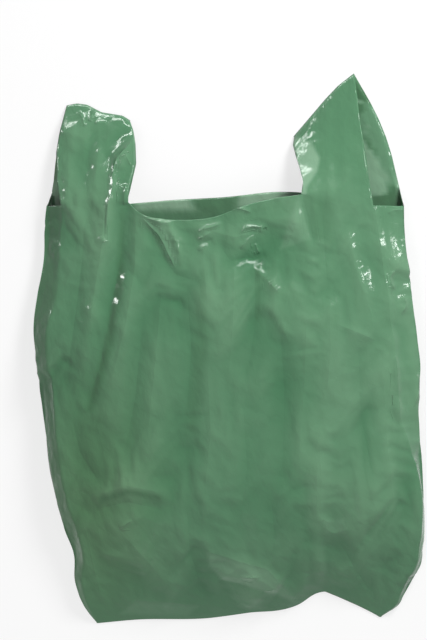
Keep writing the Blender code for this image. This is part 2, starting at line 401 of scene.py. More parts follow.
LEFT_INNER = ((-144, 231), (-139, 253), (-135, 270), (-136, 299), (-139, 318))
LEFT_HANDLE = Handle(
    outer_corner=(-237, 354),
    inner_corner=(-144, 332),
    seal=((-222, 357), (-207, 355), (-186, 344), (-155, 339)),
    outer={
        Side.FRONT: ((-249, 240), (-251, 285), (-247, 310)),
        Side.BACK: ((-256, 244), (-254, 265), (-249, 307)),
    },
    inner={Side.FRONT: LEFT_INNER, Side.BACK: LEFT_INNER},
)
RIGHT_HANDLE = Handle(
    outer_corner=(184, 401),
    inner_corner=(96, 309),
    seal=((161, 383), (142, 363), (120, 337)),
    outer={
        Side.FRONT: ((204, 242), (199, 278), (195, 308), (191, 335), (188, 367)),
        Side.BACK: ((246, 252), (239, 282), (231, 308), (220, 335), (208, 359)),
    },
    inner={
        Side.FRONT: ((107, 240), (104, 256), (98, 278), (94, 296)),
        Side.BACK: ((112, 232), (128, 256), (132, 276), (120, 300)),
    },
)


@dataclass(frozen=True)
class Pattern:
    """The bag's outlines as it lies, in millimetres, and how finely its film is laid out."""

    wall: float = 0.3
    seal_gap: float = 2.4
    seal_nose: float = 1.2
    body_height: float = 82
    mouth_height: float = 58
    bottom_rise: float = 230
    rise_power: float = 2.4
    fold_share: float = 0.66
    crease_share: float = 0.36
    crown_power: float = 2.6
    handle_drop_power: float = 0.9
    handle_ease: float = 0.1
    bottom_left: tuple[float, float] = (-193, -401)
    bottom_right: tuple[float, float] = (224, -392)
    mouth_left: tuple[float, float] = (-145, 211)
    mouth_right: tuple[float, float] = (104, 222)
    shoulder: float = 207
    back_lips: tuple[float, float] = (226, 236)
    bottom_seal: Path = (
        (-136, -396), (-23, -393), (28, -386), (102, -374), (130, -357), (140, -355), (155, -360),
        (184, -373),
    )
    left_edge: Path = (
        (-387, -204), (-343, -223), (-296, -225), (-267, -236), (-236, -246), (-174, -258), (-125, -265),
        (-74, -271), (-24, -278), (31, -283), (76, -278), (131, -268), (184, -265), (207, -264),
    )
    right_edge: Path = (
        (-375, 248), (-361, 255), (-336, 268), (-316, 279), (-285, 282), (-230, 283), (-174, 280),
        (-74, 276), (-22, 278), (4, 275), (62, 268), (118, 262), (173, 256), (207, 255),
    )
    seal_inset: float = 3
    left_front_inset: Path = ((-330, 12), (-100, 17), (37, 22), (72, 29), (114, 25), (153, 21), (207, 22))
    right_front_inset: Path = (
        (-330, 8), (-163, 10), (-125, 22), (-105, 30), (-20, 37), (90, 36), (143, 39), (207, 46),
    )
    back_inset: Path = ((-330, 20), (-150, 34), (60, 34), (150, 16), (207, 5))
    mouths: dict[Side, Path] = field(
        default_factory=lambda: {
            Side.FRONT: ((-130, 197), (-90, 186), (-68, 185), (-20, 190), (20, 205), (64, 216)),
            Side.BACK: ((-85, 217), (-20, 221), (59, 229), (87, 227)),
        }
    )
    body_rows: int = 216
    row_crowding: float = 0.06
    gusset_columns: int = 12
    handle_columns: int = 34
    mouth_columns: int = 70
    handle_rows: int = 56

    def coarse(self) -> Pattern:
        """The same outlines, laid out with half as many rows and columns."""
        counts = ("body_rows", "gusset_columns", "handle_columns", "mouth_columns", "handle_rows")
        return replace(self, **{name: getattr(self, name) // 2 for name in counts})

    def edge(self, left: bool, y: Array) -> Array:
        """The x of a long edge of the bag at each y."""
        corner, path = (self.bottom_left, self.left_edge) if left else (self.bottom_right, self.right_edge)
        return smooth((corner[::-1], *path), y)

    def inset(self, left: bool, side: Side, y: Array) -> Array:
        """How far a gusset's fold lies inside the bag's long edge at each y."""
        front = self.left_front_inset if left else self.right_front_inset
        low = self.bottom_left[1] if left else self.bottom_right[1]
        return smooth(((low, self.seal_inset), *(front if side is Side.FRONT else self.back_inset)), y)

    def panel_shares(self) -> Array:
        """How far across a panel each of its columns lies, from 0 at its left fold to 1 at its right."""
        shoulder = self.shoulder * MM
        left = self.edge(True, shoulder) + self.inset(True, Side.FRONT, shoulder)
        right = self.edge(False, shoulder) - self.inset(False, Side.FRONT, shoulder)
        corners = (np.array([self.mouth_left[0], self.mouth_right[0]]) * MM - left) / (right - left)
        return np.r_[
            np.linspace(0, corners[0], self.handle_columns + 1)[:-1],
            np.linspace(*corners, self.mouth_columns + 1),
            np.linspace(corners[1], 1, self.handle_columns + 1)[1:],
        ]

    def top_edge(self, side: Side) -> Array:
        """The y at which each column of a half leaves the body."""
        left, right = (self.shoulder, self.shoulder) if side is Side.FRONT else self.back_lips
        x = np.linspace(self.mouth_left[0], self.mouth_right[0], self.mouth_columns + 1) * MM
        return np.r_[
            np.linspace(self.shoulder, left, self.gusset_columns + 1)[:-1] * MM,
            np.linspace(left, self.mouth_left[1], self.handle_columns + 1)[:-1] * MM,
            smooth((self.mouth_left, *self.mouths[side], self.mouth_right), x),
            np.linspace(self.mouth_right[1], right, self.handle_columns + 1)[1:] * MM,
            np.linspace(right, self.shoulder, self.gusset_columns + 1)[1:] * MM,
        ]

    def seal_by_share(self) -> Array:
        """The bottom seal as (share of the way across the front panel, y), in thousandths and
        millimetres, so that each of its points keeps its own x."""
        x, y = np.array((self.bottom_left, *self.bottom_seal, self.bottom_right), float).T * MM
        left = self.edge(True, y) + self.inset(True, Side.FRONT, y)
        right = self.edge(False, y) - self.inset(False, Side.FRONT, y)
        return np.stack([np.clip((x - left) / (right - left), 0, 1), y], axis=-1) / MM

    def height_at(self, y: Array, seal_y: Array) -> Array:
        """How high the middle of the front panel lies above the back panel: it rises from the seal
        by 1 - (1 - t)^n and sinks again towards the mouth by the smooth step of t."""
        risen = np.clip((y - seal_y) / (self.bottom_rise * MM), 0, 1)
        to_mouth = np.clip(y / (self.shoulder * MM), 0, 1)
        sink = to_mouth**2 * (3 - 2 * to_mouth)
        top = self.body_height + (self.mouth_height - self.body_height) * sink
        return MM * (self.seal_gap + (top - self.seal_gap) * (1 - (1 - risen) ** self.rise_power))

    def body(self, side: Side) -> Array:
        """The points of one half of the body.

        Across a row, x runs straight from fold to fold and on to each crease. z is the fold's height
        plus a crown 1 - |2 s - 1|^n over the share s from fold to fold.

        Args:
            side: Which half.

        Returns:
            Rows from the bottom seal upwards by columns from the left crease to the right one.
        """
        share = self.panel_shares()
        outwards = 1 - np.arange(self.gusset_columns) / self.gusset_columns
        left_out = np.r_[outwards, np.zeros(len(share) + self.gusset_columns)]
        right_out = left_out[::-1]
        across = np.r_[np.zeros(self.gusset_columns), share, np.ones(self.gusset_columns)]
        low_y = smooth(self.seal_by_share(), across)
        step = np.linspace(0, 1, self.body_rows + 1)[:, None]
        step = step - self.row_crowding * np.sin(2 * np.pi * step)
        y = low_y + step * (self.top_edge(side) - low_y)
        left, right = self.edge(True, y), self.edge(False, y)
        fold_left = left + self.inset(True, side, y)
        fold_right = right - self.inset(False, side, y)
        x = fold_left + across * (fold_right - fold_left)
        x += left_out * (left - fold_left) + right_out * (right - fold_right)
        height = self.height_at(y, low_y)
        fold_z = self.fold_share * height if side is Side.FRONT else np.zeros_like(height)
        z = fold_z + (left_out + right_out) * (self.crease_share * height - fold_z)
        if side is Side.FRONT:
            z += (1 - self.fold_share) * height * (1 - np.abs(2 * across - 1) ** self.crown_power)
        return np.stack([x, y, z], axis=-1)

    def band(self, foot: Array, handle: Handle, side: Side) -> Array:
        """The points of one band of a handle.

        The band is ruled between its cut edges, bent to its foot below and to the seal above, and
        its z falls to the seal by (1 - t)^n, with t eased at the foot as hypot(t, ease) - ease.

        Args:
            foot: The body's own points where the band starts, outer to inner.
            handle: The handle.
            side: Which of its bands.

        Returns:
            Rows from the foot to the seal by columns from the outer edge to the inner one.
        """
        rows = np.linspace(0, 1, self.handle_rows + 1)
        columns = np.linspace(0, 1, self.handle_columns + 1)[:, None]
        flat_foot = foot[:, :2]
        outer = along((flat_foot[0] / MM, *handle.outer[side], handle.outer_corner), rows)
        inner = along((flat_foot[-1] / MM, *handle.inner[side], handle.inner_corner), rows)
        seal = along((handle.outer_corner, *handle.seal, handle.inner_corner), columns[:, 0])
        up = rows[:, None, None]
        flat = outer[:, None] + columns * (inner - outer)[:, None]
        flat += up * (seal - (seal[0] + columns * (seal[-1] - seal[0])))
        flat += (1 - up) * (flat_foot - (flat_foot[0] + columns * (flat_foot[-1] - flat_foot[0])))
        seal_z = self.seal_gap * MM if side is Side.FRONT else 0.0
        eased = (np.hypot(rows, self.handle_ease) - self.handle_ease)[:, None]
        z = seal_z + (foot[:, 2] - seal_z) * (1 - eased / eased[-1]) ** self.handle_drop_power
        return np.concatenate([flat, z[..., None]], axis=-1)


class Film:
    """The film's middle surface, gathered grid by grid, with what is known of each point."""

    def __init__(self) -> None:
        """Starts with no points."""
        self.points = np.empty((0, 3))
        self.faces = np.empty((0, 4), int)
        self.masks = np.empty((0, 4))

    def add(self, grid: Array, front: float, freedom: Array, layers: Array, folds: Array) -> Array:
        """Adds a grid of points.

        Args:
            grid: The points.
            front: 1 for the front half, 0 for the back half.
            freedom: How free each point is to fold, from 0 at a seal to 1.
            layers: 1 where the film lies over more film, 0 where light comes through one layer.
            folds: How much of the main folds each point takes, from 0 to 1.

        Returns:
            The points' numbers, in the grid's shape.
        """
        shape = grid.shape[:-1]
        numbers = len(self.points) + np.arange(int(np.prod(shape))).reshape(shape)
        known = [np.broadcast_to(value, shape).reshape(-1) for value in (front, freedom, layers, folds)]
        self.points = np.concatenate([self.points, grid.reshape(-1, 3)])
        self.masks = np.concatenate([self.masks, np.stack(known, axis=-1)])
        return numbers

    def skin(self, numbers: Array, turned: bool) -> None:
        """Adds the faces of a grid of point numbers, turned over where it faces down."""
        corners = [numbers[:-1, :-1], numbers[:-1, 1:], numbers[1:, 1:], numbers[1:, :-1]]
        found = np.stack(corners, axis=-1).reshape(-1, 4)
        self.faces = np.concatenate([self.faces, found[:, ::-1] if turned else found])

    def stitch(self, fine: Array, coarse: Array, turned: bool) -> None:
        """Adds the faces between a line of points and one with half as many steps: for each of the
        coarse steps a triangle and a four-sided face.

        Args:
            fine: The numbers of the finely spaced points.
            coarse: The numbers of the others.
            turned: True where the faces would point down.
        """
        low, middle, high = fine[:-1:2], fine[1::2], fine[2::2]
        found = np.concatenate(
            [
                np.stack([low, middle, coarse[:-1], coarse[:-1]], axis=-1),
                np.stack([middle, high, coarse[1:], coarse[:-1]], axis=-1),
            ]
        )
        self.faces = np.concatenate([self.faces, found[:, ::-1] if turned else found])

    def normals(self) -> Array:
        """Each point's unit normal: the mean of its faces', weighted by their area."""
        a, b, c, d = (self.points[self.faces[:, k]] for k in range(4))
        slope = np.cross(c - a, d - b)
        total = np.zeros_like(self.points)
        np.add.at(total, self.faces.T, slope)
        return total / np.linalg.norm(total, axis=1, keepdims=True)


# the main folds, from the left to the right and then downwards
FOLDS = (
    Fold(((-149, 204), (-155, 140), (-168, 66), (-184, -20), (-204, -86)), 24, -6),
    Fold(((-179, 200), (-181, 150), (-190, 96), (-198, 40)), 22, 4.5),
    Fold(((-206, 196), (-212, 120), (-222, 40), (-232, -40)), 20, -3),
    Fold(((-134, 186), (-134, 120), (-146, 40), (-166, -40)), 20, 3.5),
    Fold(((-126, 193), (-87, 178), (-69, 124)), 18, 3.5),
    Fold(((-112, 168), (-92, 128), (-75, 106), (-49, 98)), 18, -4),
    Fold(((-38, 170), (-36, 120), (-30, 60)), 22, 3),
    Fold(((-22, 168), (8, 160), (44, 166)), 18, 3),
    Fold(((-14, 150), (2, 127), (30, 128), (58, 138)), 18, -4),
    Fold(((36, 118), (54, 102), (76, 86)), 18, 3.5),
    Fold(((38, 122), (37, 80), (38, 40), (28, -30)), 18, -3),
    Fold(((8, 120), (6, 40), (0, -40)), 24, 3),
    Fold(((-60, 90), (-54, 0), (-62, -110)), 24, -4),
    Fold(((-96, 90), (-104, -10), (-116, -130)), 24, 3.5),
    Fold(((-124, 30), (-134, -70), (-150, -150)), 22, -3),
    Fold(((100, 212), (94, 170), (82, 144)), 18, 3.5),
    Fold(((104, 212), (112, 180), (119, 158)), 16, -3),
    Fold(((134, 206), (138, 140), (142, 84)), 22, -4),
    Fold(((172, 160), (185, 107), (208, 41)), 20, 4.5),
    Fold(((144, 60), (145, 0), (140, -60)), 20, 3.5),
    Fold(((186, 0), (190, -90), (206, -180)), 22, -4),
    Fold(((222, -40), (228, -140), (238, -230)), 18, 3),
    Fold(((72, 40), (80, -60), (76, -180)), 24, -4),
    Fold(((110, 40), (108, -50), (100, -150)), 22, 3),
    Fold(((-186, -208), (-143, -195), (-97, -205)), 20, 5),
    Fold(((-188, -230), (-143, -219), (-98, -230)), 20, -4),
    Fold(((-226, -100), (-214, -150), (-184, -196)), 22, -4.5),
    Fold(((-30, -30), (-26, -120), (-34, -200)), 24, 3),
    Fold(((20, -80), (26, -170), (14, -260)), 24, -3),
    Fold(((130, -130), (131, -196), (128, -250)), 22, 5),
    Fold(((132, -252), (150, -266), (172, -258)), 18, 3),
    Fold(((100, -368), (60, -342), (17, -312), (-18, -336)), 20, 3.5),
    Fold(((160, -280), (184, -320), (206, -356)), 20, -3),
    Fold(((-160, -256), (-120, -300), (-90, -340)), 22, 3),
    Fold(((-60, -230), (-56, -290), (-40, -350)), 24, -3),
    Fold(((60, -210), (66, -270), (60, -310)), 22, -3),
    Fold(((-206, -260), (-196, -310), (-186, -360)), 18, 3),
)

# the small creases: left handle, mouth, right side, lower part, right handle
CREASES = (
    Crease(
        (
            (-136, 308), (-148, 291), (-161, 276), (-166, 263), (-168, 248), (-167, 235), (-170, 221),
            (-173, 208), (-174, 180), (-173, 150),
        ),
        5, 4.0, 1.7,
    ),
    Crease(((-142, 330), (-168, 300), (-180, 262)), 9, -2),
    Crease(((-141, 264), (-149, 278), (-160, 258)), 6, 3.0, 1.0),
    Crease(((-196, 338), (-204, 290), (-210, 220)), 11, -2.4),
    Crease(((-222, 336), (-230, 280), (-234, 214), (-230, 150)), 8, 1.8),
    Crease(((-186, 300), (-192, 240), (-196, 190)), 9, 1.6),
    Crease(((-220, 345), (-213, 336), (-210, 322)), 4, 2.4, 1.2),
    Crease(((-204, 330), (-200, 340), (-197, 346)), 4, 2.2, 1.2),
    Crease(((-196, 329), (-187, 328), (-178, 330)), 4, 2.0, 1.0),
    Crease(((-149, 238), (-150, 221), (-151, 206)), 5, 2.6, 1.2),
    Crease(((-184, 161), (-178, 154), (-170, 152)), 4, 2.6, 1.3),
    Crease(
        (
            (-130, 196), (-115, 187), (-96, 181), (-87, 180), (-83, 166), (-76, 154), (-71, 138),
            (-69, 122),
        ),
        4.5, 3.2, 1.5,
    ),
    Crease(((-124, 188), (-112, 175), (-101, 164), (-93, 150), (-84, 130), (-76, 114)), 4.5, 2.6, 1.3),
    Crease(((-44, 168), (-36, 172), (-24, 174), (-11, 180)), 4.5, 2.8, 1.4),
    Crease(((-44, 158), (-36, 160), (-28, 166)), 4, 2.4, 1.2),
    Crease(((-45, 148), (-34, 153), (-23, 158)), 5, -2.2, 0.5),
    Crease(((-42, 140), (-37, 145), (-32, 150)), 4, 2.2, 1.2),
    Crease(((5, 203), (18, 201), (32, 196)), 4, 2.4, 1.3),
    Crease(((16, 166), (24, 173), (34, 176), (47, 175), (44, 162)), 5, 3.0, 1.5),
    Crease(((34, 163), (26, 154), (17, 144)), 4, 2.6, 1.4),
    Crease(((38, 152), (41, 144), (44, 138)), 4, 2.2, 1.2),
    Crease(((2, 126), (22, 131), (40, 130), (58, 138)), 7, -2.2, 0.5),
    Crease(((37, 118), (48, 106), (59, 93), (72, 80)), 5, 2.6, 0.9),
    Crease(((104, 222), (96, 190), (79, 146)), 8, 1.6, 0.3),
    Crease(((104, 222), (114, 188), (121, 154)), 8, -1.6, 0.3),
    Crease(((154, 36), (182, 24), (212, 12)), 6, 1.6, 0.4),
    Crease(((172, 166), (180, 130), (192, 96), (204, 60)), 8, 2.0, 0.3),
    Crease(
        (
            (204, 244), (210, 205), (218, 156), (221, 129), (230, 76), (232, 45), (239, 14), (241, -10),
        ),
        5, 1.6, 0.5,
    ),
    Crease(((240, -4), (241, -30), (243, -77), (246, -110)), 5, 3.0, 1.4),
    Crease(((230, 196), (240, 201), (254, 202)), 4, 1.6, 0.6),
    Crease(((254, 148), (246, 132), (236, 113)), 7, 1.8, 0.4),
    Crease(((240, 118), (232, 103), (233, 94), (240, 85)), 4, 2.4, 1.3),
    Crease(((252, 76), (256, 64), (250, 50)), 4, 2.0, 1.0),
    Crease(((273, -34), (272, -60), (267, -84)), 5, 2.6, 1.3),
    Crease(((-156, -257), (-148, -251), (-138, -245)), 4, 2.6, 1.4),
    Crease(((16, -328), (30, -327), (44, -328)), 4, 2.4, 1.3),
    Crease(((50, -349), (58, -348), (67, -346)), 4, 2.4, 1.3),
    Crease(((-35, -289), (10, -302), (55, -316), (103, -372)), 7, 1.8, 0.3),
    Crease(((-28, -312), (-11, -334), (18, -339), (60, -353)), 7, -1.8, 0.3),
    Crease(((-158, -389), (-135, -366), (-90, -368), (-45, -376)), 7, 1.6, 0.3),
    Crease(((125, -170), (125, -210), (126, -240), (150, -252)), 6, 2.0, 0.4),
    Crease(((110, 300), (128, 262), (134, 222)), 10, 2),
    Crease(((172, 380), (164, 320), (158, 250), (150, 180)), 14, -2),
    Crease(((196, 330), (204, 316), (196, 300)), 4, 1.6, 0.5),
)

SCATTERS = (
    Scatter(40, (-230, -260), (230, 180), 3, 9, (60, 150), (5, 9), (0.4, 1.0), 61),
    Scatter(30, (-220, -330), (220, 120), 40, 22, (25, 70), (4, 8), (0.4, 1.0), 67),
    Scatter(24, (-150, 70), (150, 190), 60, 26, (20, 55), (3.5, 6), (0.5, 1.2), 71),
    Scatter(18, (-200, -390), (200, -330), 10, 20, (25, 55), (5, 8), (0.6, 1.2), 73),
    Scatter(12, (-240, 200), (-150, 340), 4, 10, (40, 90), (4, 8), (0.5, 1.0), 79),
    Scatter(14, (225, -200), (275, 190), -4, 24, (25, 70), (3.5, 6), (0.5, 1.1), 83),
    Scatter(10, (100, 210), (240, 330), 10, 16, (40, 90), (6, 9), (0.4, 0.8), 89),
)

FACETS = Facets(
    (
        Zigzag(8, 150, 1.6, 24, 0.1),
        Zigzag(-24, 104, 1.1, 18, 0.37),
        Zigzag(62, 170, 1.5, 28, 0.6),
        Zigzag(-58, 96, 1.0, 16, 0.23),
        Zigzag(12, 63, 0.66, 11, 0.81),
        Zigzag(84, 120, 0.9, 15, 0.45),
        Zigzag(-35, 47, 0.48, 8, 0.05),
        Zigzag(40, 38, 0.38, 6, 0.68),
    )
)

# painted light: lighter where light comes through one layer of film, on facets that catch the light, as a
# sheen on the right of the front panel, and in the shade inside the gussets
PAINTED_LIGHT_ZONES = (
    Zone(Side.BACK, ((-140, 226), (-64, 226), (-48, 202), (-134, 202)), 0.95, 12),
    Zone(Side.BACK, ((18, 234), (116, 234), (116, 206), (12, 206)), 0.95, 12),
    Zone(
        Side.BACK,
        (
            (190, 306), (199, 303), (214, 284), (234, 250), (233, 229), (224, 222), (190, 222),
        ),
        0.6,
    ),
    Zone(Side.BACK, ((186, 365), (213, 354), (212, 350), (186, 361)), 0.4, 3),
    Zone(Side.BACK, ((196, 313), (204, 330), (208, 329), (200, 312)), 0.35, 4),
    Zone(Side.BACK, ((-284, 246), (-240, 246), (-240, 200), (-284, 200)), 0.8, 8),
    Zone(Side.BACK, ((246, 256), (280, 256), (280, 196), (246, 196)), 0.6, 6),
    Zone(Side.FRONT, ((90, 250), (300, 250), (300, -150), (140, -150)), 0.07, 60),
    Zone(Side.FRONT, ((-130, 190), (-88, 182), (-72, 124), (-80, 118), (-98, 156)), 0.14, 6),
    Zone(Side.FRONT, ((136, -244), (164, -244), (168, -264), (138, -264)), 0.12, 6),
    Zone(Side.FRONT, ((100, 222), (118, 158), (74, 143)), 0.16),
    Zone(
        Side.FRONT,
        (
            (-30, -292), (55, -316), (104, -372), (60, -352), (18, -339), (-11, -334), (-28, -312),
        ),
        0.26,
    ),
    Zone(Side.FRONT, ((-158, -387), (-135, -367), (-45, -376), (-60, -392)), 0.16, 8),
    Zone(Side.FRONT, ((-58, 92), (-40, 190), (50, 176), (34, 150), (-6, 130)), 0.06, 12),
)
# painted shade: darker where more layers of film keep the light out, in creases and recesses, inside the
# gussets and down the left side of the front panel
PAINTED_SHADE_ZONES = (
    Zone(Side.BACK, ((-52, 224), (14, 226), (14, 190), (-52, 190)), 0.5),
    Zone(Side.BACK, ((-134, 203), (-52, 203), (-52, 180), (-120, 180)), 0.35),
    Zone(Side.BACK, ((180, 404), (188, 394), (214, 354), (184, 366)), 1.0, 3),
    Zone(Side.BACK, ((186, 361), (199, 356), (199, 344), (188, 340)), 0.9, 4),
    Zone(Side.BACK, ((190, 312), (197, 313), (214, 290), (206, 290)), 0.6, 4),
    Zone(
        Side.BACK,
        (
            (203, 224), (228, 224), (236, 229), (237, 241), (246, 238), (258, 206), (258, 196),
            (203, 196),
        ),
        0.8, 4,
    ),
    Zone(Side.BACK, ((196, 309), (200, 311), (221, 282), (215, 282)), 0.4, 4),
    Zone(
        Side.FRONT,
        (
            (-153, 200), (-163, 90), (-180, 0), (-206, -90), (-196, -92), (-168, 0), (-152, 96),
        ),
        0.7, 9,
    ),
    Zone(Side.FRONT, ((40, 122), (44, 120), (45, 44), (38, 40)), 0.4, 5),
    Zone(Side.FRONT, ((-224, -112), (-180, -92), (-172, -200), (-214, -196)), 0.35, 14),
    Zone(
        Side.FRONT,
        (
            (-186, -212), (-143, -199), (-97, -209), (-96, -216), (-143, -208), (-184, -222),
        ),
        0.6, 6,
    ),
    Zone(Side.FRONT, ((-40, 110), (-28, 20), (-46, -120), (-60, -120), (-48, 20)), 0.3, 12),
    Zone(Side.FRONT, ((110, 220), (122, 158), (150, 150), (150, 214)), 0.25, 12),
    Zone(
        Side.FRONT,
        (
            (-290, 210), (-244, 210), (-248, 72), (-262, 30), (-256, -100), (-222, -300), (-215, -380),
            (-290, -380),
        ),
        0.5, 10,
    ),
)
# olive painted shade, darker and yellower, on the lower left of the front and beside the left handle, and how
# much
OLIVE_SHADE_PATCHES = (
    (Side.FRONT, 0.4, Patch((-200, -230), (90, 160))),
    (Side.BACK, 0.9, Patch((-262, 275), (20, 70))),
)


@dataclass(frozen=True)
class Crumple:
    """How the film departs from its smooth form, in millimetres."""

    folds: tuple[Fold, ...] = FOLDS
    creases: tuple[Crease, ...] = CREASES
    scatters: tuple[Scatter, ...] = SCATTERS
    facets: Facets = FACETS
    fold_share: float = 0.62
    crinkle: float = 0.5
    crinkle_length: float = 34
    fine_crinkle: float = 0.14
    fine_length: float = 13
    back_share: float = 0.5
    # how strongly the fold tone paints shade into the valleys and light onto the ridges
    tone_depth: float = 14
    tone_of_ridges: float = 0.5
    calm: Patch = Patch((132, 285), (70, 78))
    calm_share: float = 0.9
    facets_below: float = 0.2
    stretch: tuple[float, float, float] = (1.0, 0.45, 1.3)
    wander: float = 0.6
    wander_size: float = 3
    ridge_steepness: float = 2.4
    seed: int = 41

    def ridged(self, points: Array, length: float, seed: int) -> Array:
        """Sharp meandering ridges, drawn out along the bag: 1 - steepness * |noise|."""
        drift = Grain(seed + 1).at(points, self.wander_size * length * MM)
        moved = points * self.stretch + drift[..., None] * self.wander * length * MM
        return 1 - self.ridge_steepness * np.abs(Grain(seed).at(moved, length * MM))

    def relief(self, film: Film) -> tuple[Array, Array]:
        """How far each of the film's points rises along its normal, and how light that leaves it.

        Args:
            film: The smooth film.

        Returns:
            The rise in metres, smaller at the seals and never downwards under the back panel, and a
            tone from 0 in the valleys, for painted shade, to 1 on the ridges, for painted light.
        """
        front, freedom, _, share = film.masks.T
        flat = film.points[:, :2]
        small = [*self.creases, *(crease for scatter in self.scatters for crease in scatter.creases())]
        folds = self.fold_share * share * sum(fold.relief(flat) for fold in self.folds)
        loose = freedom * (1 - self.calm_share * self.calm.weight(flat))
        folds += loose * sum(crease.relief(flat) for crease in small)
        facets = loose * self.facets.relief(flat)
        ridges = self.crinkle * MM * self.ridged(film.points, self.crinkle_length, self.seed)
        ridges += self.fine_crinkle * MM * self.ridged(film.points, self.fine_length, self.seed + 7)
        ridges *= freedom
        up = front * (folds + facets) + ridges
        under = -self.back_share * np.abs(ridges) - self.facets_below * np.abs(facets)
        # the tone paints shade into the valleys and light onto the ridges, from the relief
        height = folds + facets + self.tone_of_ridges * ridges
        tone = 0.5 + height * front / (self.tone_depth * MM)
        return np.where(front > 0.5, up, under), np.clip(tone, 0, 1)


@dataclass(frozen=True)
class Wiring:
    """Adds nodes to a tree and joins them up."""

    tree: bpy.types.NodeTree

    @classmethod
    def group(cls, name: str, numbers: tuple[str, ...], result: str) -> Wiring:
        """Starts a node group that takes a vector and numbers, and puts out one number.

        Args:
            name: The group's name.
            numbers: The names of the numbers that it takes.
            result: The name of the number that it puts out.

        Returns:
            The wiring of the group's own tree.
        """
        tree = bpy.data.node_groups.new(name, "ShaderNodeTree")
        tree.interface.new_socket("Vector", in_out="INPUT", socket_type="NodeSocketVector")
        for number in numbers:
            tree.interface.new_socket(number, in_out="INPUT", socket_type="NodeSocketFloat")
        tree.interface.new_socket(result, in_out="OUTPUT", socket_type="NodeSocketFloat")
        return cls(tree)

    def given(self) -> bpy.types.bpy_prop_collection:
        """What a group takes, as sockets to link from."""
        return self.tree.nodes.new("NodeGroupInput").outputs

    def put_out(self, value: bpy.types.NodeSocket) -> bpy.types.NodeTree:
        """Ends a group with the number that it puts out, and returns its tree."""
        self.link(value, self.tree.nodes.new("NodeGroupOutput").inputs[0])
        return self.tree

    def link(self, source: bpy.types.NodeSocket, target: bpy.types.NodeSocket) -> None:
        """Joins an output to an input."""
        self.tree.links.new(source, target)

    def add(self, kind: str, inputs: dict[str | int, object], **settings: object) -> bpy.types.Node:
        """Adds a shader node.

        Args:
            kind: The node's type, without the words that all types start with.
            inputs: What goes into its inputs, by name or number: another node's socket, or a value.
            **settings: The node's own settings, such as its operation.

        Returns:
            The node.
        """
        node = self.tree.nodes.new("ShaderNode" + kind)
        for name, value in settings.items():
            setattr(node, name, value)
        for key, value in inputs.items():
            if isinstance(value, bpy.types.NodeSocket):
                self.link(value, node.inputs[key])
            else:
                node.inputs[key].default_value = value
        return node

    def math(self, operation: str, *inputs: bpy.types.NodeSocket | float) -> bpy.types.NodeSocket:
        """Adds a math node and returns its value."""
        return self.add("Math", dict(enumerate(inputs)), operation=operation).outputs["Value"]


